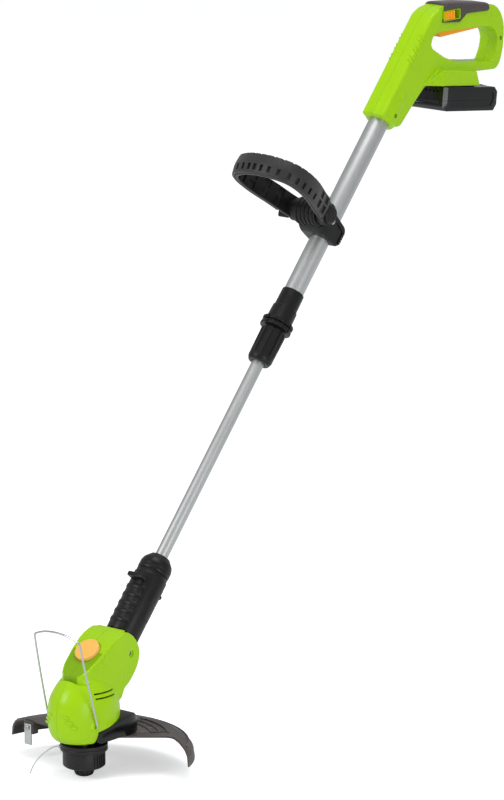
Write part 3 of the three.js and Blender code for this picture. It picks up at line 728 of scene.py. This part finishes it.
guard = common(lathe(rounded(section, 2.2, 3), 180), plate(rounded(SECTOR, 6), 0, 80))
guard = join(guard, block(-126, -108, 11.2, 22, 36, 54))
for r0, a0, a1 in ((96, 52, 86), (108, 50, 88), (120, 49, 90)):
    guard = join(guard, ring_sector([(r0, 54.4), (r0, 58), (r0 + 2.4, 57.8), (r0 + 2.4, 54.4)], a0, a1))
for a in (52, 86):
    guard = join(guard, around(bevelled(block(97, 122, -1.2, 1.2, 54.4, 57.8), 0.5, 2), a))
guard = join(guard, ring_sector([(147.6, 47), (147.6, 50.8), (150, 50), (150, 45.6)], 30, 172))
for a in range(60, 165, 15):
    guard = join(guard, around(block(60, 134, -1, 1, 49.5, 54.3), a))
guard = cut(guard, plate([(x, y) for x, y, _ in ellipse(44, 54, 0)], 40, 70),
            *[placed(rod(2.3, 40, 70, 24), shift(x, 66, 0)) for x in (-25, 25)],
            placed(rod(1.9, 5, 30, 24), turn(-90, "X"), shift(-117, 0, 45)))
done(guard, "guard_deck", GUARD, "head", ["guard"])

WEDGE = [(-16.7, 57.5), (-16.7, 74.1), (46, 86.5), (58, 88), (68, 79), (74, 66), (70, 57.5)]
WEDGE_PLAN = [(-46, -20), (46, -20), (46, 52), (41, 70), (26, 82), (-26, 82), (-41, 70), (-46, 52)]
bracket = common(slab(rounded(WEDGE, 3), -46, 46), plate(rounded(WEDGE_PLAN, 8), 50, 100))
bracket = bevelled(bracket, 1.6, 3, 35)
bracket = cut(bracket, plate([(x, y) for x, y, _ in ellipse(42, 52, 0)], 40, 71.6), rod(30, 40, 70),
              plate([(x, y) for x, y, _ in ellipse(40, 50.6, 0)], 71, 100),
              *[placed(rod(2.3, 40, 70, 24), shift(x, 66, 0)) for x in (-25, 25)])
done(bracket, "guard_bracket_wedge", BLACK_GLOSS, "head", ["guard_bracket"])

blade = bevelled(cut(block(-123.5, -110.5, 9.3, 10.9, 20, 51),
                     placed(rod(1.9, 5, 20, 24), turn(-90, "X"), shift(-117, 0, 45))), 0.3, 2)
blade = cut(blade, placed(block(-10, 10, -3, 0, -3, 3), turn(24, "X"), shift(-117, 9.4, 19.4)))
done(blade, "line_cutter_blade", STEEL, "head", ["line_cutter"])


def cross_screw(head_r, head_h, shank_r, length, slot=0.7):
    """A pan head screw along +z, its head's underside at z = 0 and its shank below."""
    body = round_lathe([(0, -length), (shank_r, -length), (shank_r, 0), (head_r, 0), (head_r, head_h * 0.5),
                        (head_r * 0.75, head_h), (0, head_h)], 0.4, 40)
    arms = [block(-head_r * 0.62, head_r * 0.62, -slot / 2, slot / 2, head_h * 0.4, head_h + 1),
            block(-slot / 2, slot / 2, -head_r * 0.62, head_r * 0.62, head_h * 0.4, head_h + 1)]
    return cut(body, *arms)


done(placed(cross_screw(3.2, 1.8, 1.5, 9), turn(90, "X"), shift(-117, 9, 45)), "cutter_screw_head", STEEL,
     "head", ["cutter_screw"])
for name, x in (("left", 25), ("right", -25)):
    screw = placed(cross_screw(4, 2.8, 2, 15.6), turn(180, "X"), shift(x, 66, 52.4))
    done(screw, f"guard_screw_{name}_head", STEEL, "head", [f"guard_screw_{name}"])
print("pieces so far:", len(made))

# %% [markdown]
# The neck is a straight black grip tube with finger ribs on its front, a stop tab and a collar above a
# thin gap. The collar lifts and the small ball button frees the swivel, so each of them is its own piece.

# %% Neck
FRONT = (-17, 17, -40, -8, 0, 200)
neck = join(pin(21, -CHEEK + 0.6, CHEEK - 0.6, 0, 0, 72), rod(21, 4, 30, 72),
            round_lathe([(0, 25), (25, 25), (25, 120), (23.8, 121.4), (23.8, 126), (0, 126)], 0.8, 96))
for i in range(5):
    t = 40 + 13.5 * i
    rib = lathe(rounded([(20, t - 4.6), (25.9, t - 3.4), (26.4, t), (25.9, t + 3.4), (20, t + 4.6)], 1.2,
                        3), 96)
    neck = join(neck, common(rib, block(*FRONT)))
neck = join(neck, bevelled(block(-14, 14, -34, -18, 104, 111), 1.6, 3))
neck = cut(neck, rod(10, 50, 140), rod(4, 10, 60), pin(4.4, -40, 40, 0, 0))
SWIVEL = shift(0, 0, 102) @ Matrix.Rotation(math.radians(63), 4, "Z") @ Matrix.Rotation(math.radians(90), 4,
                                                                                        "Y")
neck = cut(neck, placed(rod(4.5, 12.5, 40), SWIVEL))
neck = common(neck, bevelled(block(-26, 26, -60, 60, -60, 200), 0.8, 2))
label = common(cut(rod(25.5, 52, 112, 96), rod(24.4, 40, 120, 96)),
               placed(block(10, 40, -9, 9, 56, 108), turn(12, "Z")))
neck = join(neck, label)
done(placed(neck, POLE), "neck_grip", BLACK, "neck_body", ["neck"])

ball = round_lathe([(0, 15), (4, 15), (4, 26), (2.8, 28.6), (0, 29)], 1.2, 48)
done(placed(ball, SWIVEL, POLE), "swivel_ball_button", BLACK_GLOSS, "swivel", ["swivel_button"])

collar = round_lathe([(9.9, 126.6), (23.6, 126.6), (24.2, 129), (24.2, 132), (23.4, 132.8), (24.2, 133.6),
                      (24, 139), (22, 145), (14.5, 154), (9.9, 154)], 0.8, 96)
done(placed(collar, POLE), "neck_collar_ring", BLACK, "collar", ["neck_collar"])

# %% [markdown]
# Two drawn aluminium tubes slide in each other. The upper one is thicker, and a black nut with shallow
# flats squeezes a collet on the lower one. The flange rings on the sleeve stop the hand from slipping
# down.

# %% Pole and clamp
UPPER_R, LOWER_R = 15, 9.5
TUBE_ROOM = UPPER_R + 0.3  # the bore of everything that grips the upper tube


def tube(r, bore, t0, t1):
    return round_lathe([(bore, t0), (r, t0), (r, t1), (bore, t1)], 0.3, 96)


lower = tube(LOWER_R, LOWER_R - 1.3, 54, 690)
done(placed(lower, POLE), "pole_lower", TUBE, "lower_pole", ["lower_tube"])
upper = cut(tube(UPPER_R, UPPER_R - 1.3, 548, 985), pin(1.9, -20, 20, 1.7, 920))
done(placed(upper, POLE), "pole_upper", TUBE, "body", ["upper_tube"])

sleeve = round_lathe([(12.9, 500), (15.2, 500), (15.2, 539), (17, 541), (24, 541), (24, 545.5), (19.5, 546),
                      (19.5, 549), (24, 549.5), (24, 554), (19.6, 554.6), (19, 576), (17.4, 577), (17, 605),
                      (15.3, 605), (15.3, 547.6), (12.9, 547.6)], 0.7, 96)
sleeve = cut(sleeve, *[around(block(22.6, 26, -1.6, 1.6, 536, 558), 30 * i) for i in range(12)])
done(placed(sleeve, POLE), "clamp_sleeve_flanged", BLACK, "body", ["clamp_sleeve"])

nut = round_lathe([(10, 484), (16, 484), (18.6, 490), (19.2, 536), (18, 538), (10, 538)], 1.2, 96)
nut = cut(nut, rod(15.6, 499.5, 560), rod(12.7, 496, 510),
          *[around(block(18.1, 24, -3.6, 3.6, 494, 541), 36 * i) for i in range(10)],
          *[around(block(17.4, 24, -0.5, 0.5, 496, 534), 36 * i + 18) for i in range(10)])
done(placed(nut, POLE), "clamp_nut_flats", BLACK, "nut", ["clamp_nut"])
print("pole done:", len(made))

# %% [markdown]
# The loop handle is a hard plastic band with a rubber outer band on it. Oval holes and edge notches
# lighten it, and square pockets near each end leave a lattice of ribs. It turns on a ribbed drum that a
# lobed knob tightens.

# %% Loop band outlines
LOOP_T, LOOP_N = 719, -43
LOOP_SLOPE = math.radians(36)
LOOP = POLE @ shift(0, LOOP_N, LOOP_T) @ Matrix.Rotation(LEAN - LOOP_SLOPE, 4, "X")
LOOP_SIDE = [(30, 0), (36, 16), (43, 45), (54, 80), (56, 111), (47, 133), (22, 146), (0, 149)]
half_loop = smooth_path(LOOP_SIDE, 8)
half_loop[-1] = (0, 149)


def loop_line(offset):
    """The band's half outline, moved outwards, as (x, distance in front of the bolt)."""
    out = []
    for i, p in enumerate(half_loop):
        a, b = Vector(half_loop[max(i - 1, 0)]), Vector(half_loop[min(i + 1, len(half_loop) - 1)])
        ahead = (b - a).normalized()
        out.append((p[0] + ahead.y * offset, p[1] - ahead.x * offset))
    out[-1] = (0, out[-1][1])
    return out


def loop_band(inner, outer, width, start, crown=0.0, edge=1.2):
    """The band as a loft: its section is a rounded bar whose outer face may be crowned."""
    near, far = loop_line(inner), loop_line(outer)
    rings = []
    pairs = [(a, b) for a, b in zip(near, far) if a[1] >= start]
    pairs += [((-a[0], a[1]), (-b[0], b[1])) for a, b in reversed(pairs[:-1])]
    for a, b in pairs:
        a, b = Vector(a), Vector(b)
        depth = (b - a).length
        section = rounded([(0, -width / 2), (depth, -width / 2), (depth + crown, 0), (depth, width / 2),
                           (0, width / 2)], edge, 3)
        rings.append([tuple(((a + (b - a) * (d / depth)).x, -(a + (b - a) * (d / depth)).y, w)) for d,
                      w in section])
    return loft(rings)


# %% Loop frame and grip
frame_band = loop_band(-4.5, 1.2, 32, 2, 0, 1.5)
hubs = [pin(17, 20.6, 32, 0, 0, 64), pin(17, -32, -20.6, 0, 0, 64)]
hub_cap = round_lathe([(6.8, 31.6), (13.4, 31.6), (13.4, 36), (11, 38.4), (0, 38.9), (0, 37.6),
                       (6.8, 37.6)], 0.5, 64)
frame_band = join(frame_band, *hubs)
frame_band = cut(frame_band, block(-20.5, 20.5, -60, 30, -30, 30))


def across_band(index, side, size, z0, z1, d0, d1):
    """A pocket square to the band at one of its outline points, from depth d0 to d1 outside the outline."""
    p = Vector(half_loop[index])
    q = Vector(half_loop[min(index + 1, len(half_loop) - 1)]) - Vector(half_loop[max(index - 1, 0)])
    angle = math.atan2(-q.x, q.y)
    tool = bevelled(block(d0, d1, -size / 2, size / 2, z0, z1), 0.8, 2)
    tool = placed(tool, Matrix.Rotation(-angle, 4, "Z"), shift(p.x, -p.y, 0))
    return tool if side > 0 else outward(placed(tool, Matrix.Scale(-1, 4, (1, 0, 0))))


for side in (1, -1):
    for index in (14, 20, 26, 32, 38, 44):
        for z0, z1 in ((-13.5, -1.2), (1.2, 13.5)):
            frame_band = cut(frame_band, across_band(index, side, 11.5, z0, z1, -8, -2.4))
frame_band = join(cut(frame_band, pin(4.2, -60, 60, 0, 0)), placed(hub_cap, turn(90, "Y")))
done(placed(frame_band, LOOP), "loop_frame_band", BLACK, "loop", ["loop_frame"])

grip_band = loop_band(1.5, 6, 32, 24, 2, 3)
for side in (1, -1):
    for index in (14, 19):
        for z0, z1 in ((-13, -1.3), (1.3, 13)):
            grip_band = cut(grip_band, across_band(index, side, 12.5, z0, z1, 4.4, 14))
for side in (1, -1):
    for index in range(24, 57, 4):
        hole = across_band(index, side, 5.4, -11.5, -1.5, 3.2, 14)
        notch = across_band(index, side, 3.4, 13.2, 20, 2.2, 14)
        grip_band = cut(grip_band, hole, notch)
done(placed(grip_band, LOOP), "loop_grip_band", LOOP_SOFT, "loop", ["loop_grip"])
print("loop faces:", len(frame_band.data.polygons), len(grip_band.data.polygons))

# %% Loop clamp, bolt and knob
LOOP_SCREW = (-19, 721)
CLAMP_SIDE = [(-34, 700), (-24, 696), (12, 696), (20, 704), (20, 724), (14, 730), (-28, 736), (-40, 731)]
clamp = bevelled(slab(rounded(CLAMP_SIDE, 3), -22, 22), 1.4, 3)
clamp = cut(clamp, *[pin(18, a, b, LOOP_N, LOOP_T, 72) for a, b in ((20.3, 40), (-40, -20.3))])
clamp = join(clamp, pin(20, -20, 20, LOOP_N, LOOP_T, 72))
for x in (-15, -7.5, 0, 7.5, 15):
    ring = placed(lathe(rounded([(15, x - 2.2), (21.4, x - 1.5), (21.8, x), (21.4, x + 1.5), (15, x + 2.2)],
                                0.6, 2), 72), turn(90, "Y"), shift(0, LOOP_N, LOOP_T))
    clamp = join(clamp, ring)
for i in range(6):
    clamp = cut(clamp, block(-30, 30, 17.6, 22, 701.5 + 4.2 * i, 703.3 + 4.2 * i))
for side in (1, -1):
    x0, x1 = sorted((side * 20.6, side * 26))
    clamp = cut(clamp, slab(rounded([(-8, 701), (14, 701), (14, 722), (-8, 726)], 2), x0, x1))
    clamp = cut(clamp, pin(6, *sorted((side * 21.2, side * 30)), *LOOP_SCREW))
clamp = cut(clamp, rod(TUBE_ROOM, 600, 800, 72), pin(4, -40, 40, LOOP_N, LOOP_T),
            pin(2.3, -40, 40, *LOOP_SCREW))
for side, name in ((1, "left"), (-1, "right")):
    half = common(copy_of(clamp), block(*sorted((side * SEAM, side * 60)), -90, 60, 650, 780))
    done(placed(half, POLE), f"loop_clamp_{name}_half", BLACK, "body", [f"loop_clamp_{name}"])
bpy.data.objects.remove(clamp)

screw = placed(cross_screw(5, 2.7, 2, 43), turn(90, "Y"), shift(22.3, *LOOP_SCREW), POLE)
done(screw, "loop_clamp_screw_head", STEEL, "body", ["loop_clamp_screw"])
bolt = join(pin(3.6, -46, 35.4, LOOP_N, LOOP_T),
            pin(5.6, 34.6, 37, LOOP_N, LOOP_T))
done(placed(bolt, POLE), "loop_bolt_round", STEEL, "body", ["loop_bolt"])

lobes = [((13.4 + 2.6 * math.cos(6 * a)) * math.cos(a), (13.4 + 2.6 * math.cos(6 * a)) * math.sin(a))
         for a in (2 * math.pi * i / 96 for i in range(96))]
knob = bevelled(plate(lobes, -56, -37), 1.6, 3, 50)
knob = cut(knob, rod(3.9, -47, -20), round_lathe([(0, -60), (6, -60), (6, -54.6), (0, -54.6)], 0.5, 48))
done(placed(knob, turn(90, "Y"), shift(0, LOOP_N, LOOP_T), POLE), "loop_knob_lobed", BLACK, "loop_knob_body",
     ["loop_knob"])

# %% [markdown]
# The rear handle is two glossy shells that meet on the tool's middle plane. A flat facet runs up the
# front of the stem, the grip is rounder, and the foot under it carries the battery rail.

# %% Rear handle shells
HANDLE = [(643, 866), (653, 876), (702, 933), (746, 985), (762, 1001), (780, 1009), (800, 1012),
          (846, 1008), (915, 998), (928, 989), (937, 974), (940, 958), (938, 932), (931, 910), (921, 899),
          (866, 902), (858, 886), (748, 897), (718, 872), (686, 842), (668, 846)]
OPENING = [(758, 957), (762, 968), (774, 973), (886, 968), (906, 966), (919, 957), (924, 945), (921, 930),
           (911, 912), (822, 922), (790, 934), (762, 950)]
GRIP_X = 17
SCREW_PLACES = [(672, 862, 16.6), (931.5, 945, 12.6)]
BATTERY_Y, BATTERY_Z, BATTERY_X = (775, 902), (856, 892), 36
PACK = shift(0, BATTERY_Y[0], BATTERY_Z[1]) @ turn(-7, "X") @ shift(0, -BATTERY_Y[0], -BATTERY_Z[1])


def grip_skin(extra):
    """The saddle over the grip. Its upper edges are well rounded. extra widens it into the seat it needs."""
    top = [(788, 986), (828, 982), (846, 993), (896, 991), (900, 993), (900, 1001.6), (896, 1003.4),
           (846, 1010.6), (800, 1014.6), (793, 1014.6)]
    half = GRIP_X + 2 + extra
    outer = slab(rounded(top, 1.5, 2), -half, half)
    ridge = [(780, 1014.6), (800, 1014.6), (846, 1010.6), (896, 1003.4), (906, 1001.6)]
    vault = loft([[(x, y, z + extra) for x, z in rounded([(-half, z - 50), (-half, z), (half, z),
                                                          (half, z - 50)], 8, 6)] for y, z in ridge])
    core = [(y - 8 if y < 795 else y + 8 if y > 890 else y, z - 3 - extra if z > 994 else z - 20) for y,
            z in top]
    return cut(common(outer, vault), bevelled(slab(core, -GRIP_X + 0.6 + extra, GRIP_X - 0.6 - extra), 2.6,
                                              3, 50))


shell = bevelled(slab(rounded(HANDLE, 7), -21, 21), 5, 4, 50)
FOOT_PLAN = [(-22, 735), (22, 735), (33, 774), (33, 880), (-33, 880), (-33, 774)]
foot = common(slab(rounded([(740, 893.5), (772, 917), (851, 916), (862, 893.5)], 2), -33, 33),
              plate(rounded(FOOT_PLAN, 6), 880, 930))
foot = placed(bevelled(foot, 2.2, 3), PACK)
stem_collar = placed(round_lathe([(0, 905), (22, 905), (23.2, 907), (23.5, 912), (22.5, 960), (0, 960)], 1,
                                 96), POLE)
shell = join(shell, foot, stem_collar)
for side in (1, -1):
    facet = loft([[(side * 14.5, -25.5, t), (side * 30, -25.5, t), (side * 30, -10, t)] for t in (903, 1102)])
    shell = cut(shell, placed(facet, POLE))
slim = [(780, 960), (780, 1030), (990, 1030), (990, 880), (866, 880), (866, 936), (800, 945)]
for side in (1, -1):
    shell = cut(shell, slab(rounded(slim, 6), *sorted((side * GRIP_X, side * 40))))
shell = cut(shell, slab(rounded(OPENING, 5), -60, 60))
shell = soften(shell, 1.0, 5)
trigger_room = slab([(781, 960), (781, 1000), (903, 990), (903, 960)], -8.6, 8.6)
top_room = slab([(760, 985), (776, 1001), (800, 1005), (900, 993), (900, 982), (780, 985)], -12, 12)
rail_room = placed(block(-27, 27, 765, 870, 880, 907), PACK)
slider_room = slab([(789, 987), (830, 987), (830, 1003), (789, 1003)], GRIP_X - 6, 40)
shell = cut(shell, placed(rod(TUBE_ROOM, 880, 985.5, 72), POLE), trigger_room, top_room, rail_room,
            grip_skin(0.3), slider_room)
for y, z, seat in SCREW_PLACES:
    shell = cut(shell, pin(1.9, -17, 30, y, z), pin(3.6, seat - 0.3, 30, y, z))

DASH_PAIRS = (1006, 1024, 1042)  # along the pole: raised dashes on the stem's front corners
for t in [pair + step for pair in DASH_PAIRS for step in (-3.5, 3.5)]:
    for side in (1, -1):
        dash = bevelled(block(-5, 5, -1.4, 1.4, -1, 1), 0.5, 2)
        dash = placed(dash, turn(24, "Y"), turn(side * 45, "Z"), shift(side * 19.3, -20.6, t), POLE)
        shell = join(shell, dash)
for side, name in ((1, "left"), (-1, "right")):
    half = common(copy_of(shell), block(*sorted((side * SEAM, side * 90)), 600, 1000, 800, 1060))
    done(half, f"handle_shell_{name}_half", LIME, "body", [f"handle_shell_{name}"])
bpy.data.objects.remove(shell)
for i, (y, z, seat) in enumerate(SCREW_PLACES):
    screw = placed(cross_screw(3.2, 2.6, 1.6, 2 * seat), turn(90, "Y"), shift(seat, y, z))
    done(screw, f"handle_screw_{i + 1}_head", STEEL, "body", [f"handle_screw_{i + 1}"])

# %% [markdown]
# A soft cover saddles the grip, with a row of small pits along each top edge. Its window frames the
# orange lock slider, whose three ridges stop the thumb from slipping. The trigger is a long wedge under
# the grip.

# %% Grip cover, slider and trigger
cover = cut(grip_skin(0), slab(rounded([(789, 986.5), (831, 986.5), (831, 1004), (789, 1004)], 2), 0, 40))
for i in range(12):
    y = 803 + 7.6 * i
    z = 1011.4 - 0.118 * (y - 803)
    for side in (1, -1):
        cover = cut(cover, placed(rod(0.9, -1.6, 1.5, 16), turn(side * 42, "Y"), shift(side * 16.6, y, z)))
done(cover, "grip_cover_soft", SOFT, "body", ["grip_cover"])

window = cut(bevelled(slab(rounded([(789.4, 987.3), (829.6, 987.3), (829.6, 1002.7), (789.4, 1002.7)], 2),
                           GRIP_X - 5, GRIP_X + 2.6), 0.6, 2),
             slab(rounded([(791.2, 988.4), (828, 988.4), (828, 1001.9), (791.2, 1001.9)], 1.5), 0, 40))
done(window, "lock_slider_frame", LIME, "body", ["lock_frame"])

slider = bevelled(slab(rounded([(792, 989), (816, 989), (816, 1001.5), (792, 1001.5)], 1.5), GRIP_X - 3,
                       GRIP_X + 3.4), 0.9, 3)
for y in (797, 804, 811):
    slider = join(slider, bevelled(slab([(y - 1.3, 990.5), (y + 1.3, 990.5), (y + 1.3, 1000),
                                         (y - 1.3, 1000)], GRIP_X + 2, GRIP_X + 4.6), 0.6, 2))
done(slider, "lock_slider_thumb", ORANGE, "slider", ["lock_slider"])

TRIGGER = [(784, 974), (797, 962), (892, 965), (899, 969), (899, 978), (893, 980), (785, 986)]
trigger = bevelled(slab(rounded(TRIGGER, 1.2), -8, 8), 1.6, 3, 35)
trigger = cut(trigger, pin(2.4, -20, 20, 893, 974))
done(trigger, "trigger_blade", ORANGE, "trigger_body", ["trigger"])
print("grip pieces:", len(made))

# %% [markdown]
# The battery slides on from behind. Its shell is two halves with a fine joint, chamfered along every long
# edge, with a row of cooling slots on the front face and a spring latch at the back.

# %% Battery
y0, y1 = BATTERY_Y
z0, z1 = BATTERY_Z
split = z0 + 16
pack_side = [(y0, z0 + 6), (y0 + 6, z0), (y1 - 7, z0), (y1, z0 + 9), (y1, z1 - 7), (y1 - 7, z1), (y0, z1)]
pack = bevelled(slab(rounded(pack_side, 1.5), -BATTERY_X, BATTERY_X), 3.2, 3, 50)
corner = [(30.5, y0 - 1), (BATTERY_X + 1, y0 - 1), (BATTERY_X + 1, y0 + 7)]
for side in (1, -1):
    pack = cut(pack, plate([(side * x, y) for x, y in corner], z0 - 1, z1 + 1))
    panel = slab(rounded([(y0 + 14, z0 + 7.5), (y1 - 16, z0 + 7.5), (y1 - 9, z0 + 15), (y1 - 9, z1 - 11),
                          (y1 - 14, z1 - 7), (y0 + 14, z1 - 7)], 3), *sorted((side * (BATTERY_X - 0.8),
                                                                              side * 40)))
    pack = cut(pack, panel)
pack = join(pack, bevelled(block(-24, 24, y0 + 4, y1 - 42, z1 - 1, z1 + 9), 0.8, 2))
pack = cut(pack, block(-33, 33, y0 + 3, y1 - 24, z0 + 3, z1 - 3), block(-12, 12, y1 - 20, y1 + 5, z1 - 12,
                                                                        z1 + 1))
for i in range(7):
    x = -21 + 7 * i
    pack = cut(pack, block(x - 2.2, x + 2.2, y0 - 1, y0 + 1.6, z1 - 8.6, z1 - 5.2))
pack = cut(pack, bevelled(block(-24, 24, y0 - 1, y0 + 0.9, z0 + 9, split - 2), 0.4, 2))
for i in range(12):
    pack = cut(pack, block(-BATTERY_X - 1, BATTERY_X + 1, y0 + 22 + 7 * i, y0 + 25.4 + 7 * i, z0 - 1,
                           z0 + 0.9))
BIG = 1500
for name, a, b in (("base", 0, split - 0.15), ("top", split + 0.15, BIG)):
    part = common(copy_of(pack), block(-BIG, BIG, 0, BIG, a, b))
    done(placed(part, PACK), f"battery_{name}_shell", BLACK_GLOSS, "battery", [f"battery_{name}"])
bpy.data.objects.remove(pack)

latch_side = [(y1 - 19, z1 - 8), (y1 - 1, z1 - 8), (y1 + 4, z1 - 3), (y1 + 4, z1 - 1), (y1 - 8, z1 + 1),
              (y1 - 19, z1 - 1)]
latch = bevelled(slab(rounded(latch_side, 1), -11.5, 11.5), 0.8, 2)
for i in range(3):
    latch = cut(latch, block(-9, 9, y1 - 6 + 3 * i, y1 - 4.8 + 3 * i, z1 - 1.2, z1 + 3))
done(placed(latch, PACK), "battery_latch_tab", GREY, "latch", ["battery_latch"])
print("all pieces:", len(made))

# %% [markdown]
# What stays inside keeps the frame's own shape, but still gets its true finish, because it shows through
# slots and in exploded views.

# %% Finishes for the inner parts
INNER = {
    "motor_mount line_spool guide_bush power_cable trigger_switch terminal_block": BLACK,
    "clamp_collet": GREY,
    "wound_line": NYLON,
    "bump_spring drive_shaft tilt_button_spring tilt_bolt trigger_pin trigger_spring": STEEL,
    "motor": COPPER,
    "battery_cell_1 battery_cell_2 battery_cell_3 battery_cell_4 battery_cell_5": FILM,
}
for names, material in INNER.items():
    for name in names.split():
        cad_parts[name].data.materials.clear()
        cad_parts[name].data.materials.append(material)
